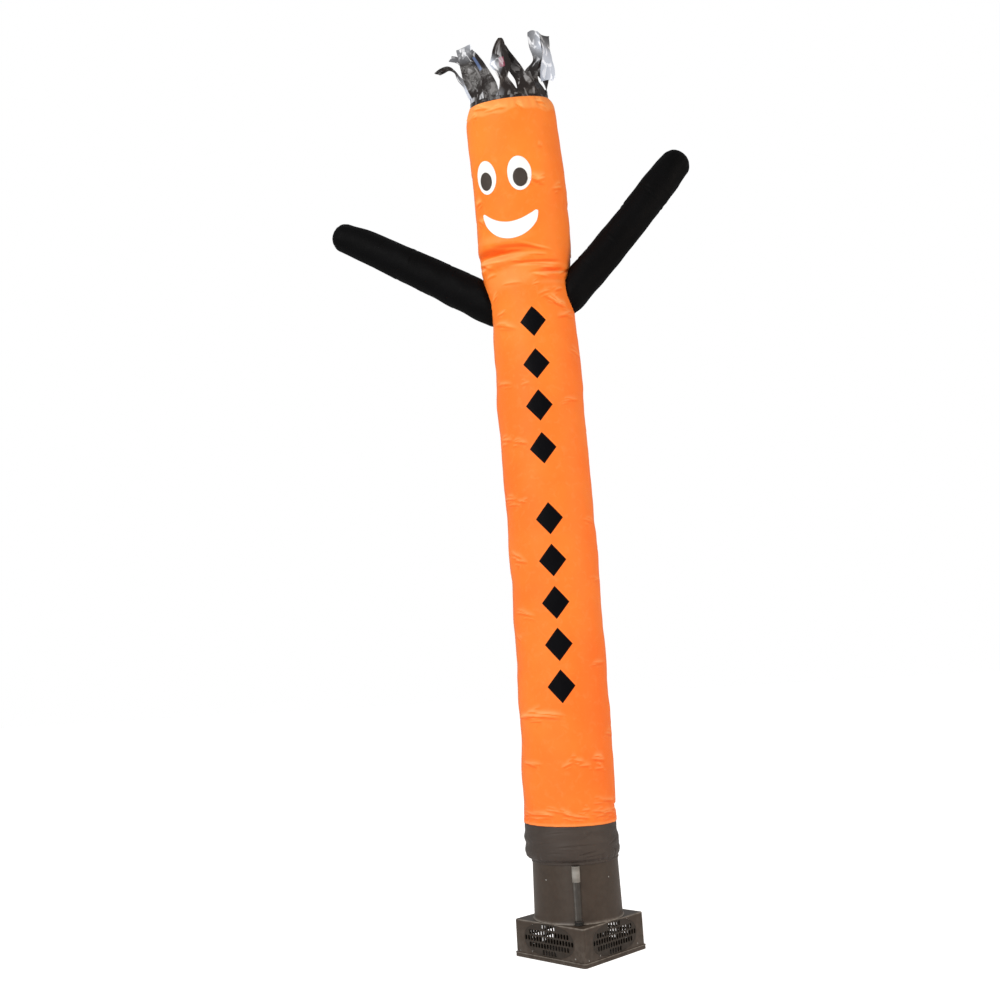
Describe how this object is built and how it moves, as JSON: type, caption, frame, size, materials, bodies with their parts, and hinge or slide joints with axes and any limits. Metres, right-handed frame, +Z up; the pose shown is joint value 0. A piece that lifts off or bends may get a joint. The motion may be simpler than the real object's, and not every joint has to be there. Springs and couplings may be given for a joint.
{
  "type": "inflatable air dancer on its blower",
  "caption": "Tall inflated tube figure with a smiling face, raised arms and film hair, tied over the outlet of its square vented blower.",
  "frame": {"origin": "centre of the blower tray's flat underside", "axes": "+Z up along the standing figure; the face and the blower's front corner look to -Y, and the arms reach out to -X and +X"},
  "size_m": [2.0938, 0.8826, 5.0498],
  "materials": {
    "orange_nylon": "woven ripstop nylon, soft sheen",
    "black_nylon": "woven nylon, soft sheen",
    "dark_nylon": "woven nylon, soft sheen",
    "white_nylon": "woven nylon, soft sheen",
    "hair_film": "thin metallised film",
    "blower_plastic": "moulded, fine grain",
    "clip_plastic": "moulded, satin",
    "grommet_rubber": "moulded rubber"
  },
  "bodies": {
    "root": {"arm_left": "black_nylon", "arm_right": "black_nylon", "blower_housing": "blower_plastic", "blower_tray": "blower_plastic", "body_tube": "orange_nylon", "conduit": "blower_plastic", "conduit_clip": "clip_plastic", "cuff": "dark_nylon", "eye_pupil_left": "dark_nylon", "eye_pupil_right": "dark_nylon", "eye_white_left": "white_nylon", "eye_white_right": "white_nylon", "grommet": "grommet_rubber", "hair": "hair_film", "outlet_duct": "blower_plastic", "smile": "white_nylon", "vent_grille_1": "blower_plastic", "vent_grille_2": "blower_plastic", "vent_grille_3": "blower_plastic", "vent_grille_4": "blower_plastic"}
  },
  "joints": []
}
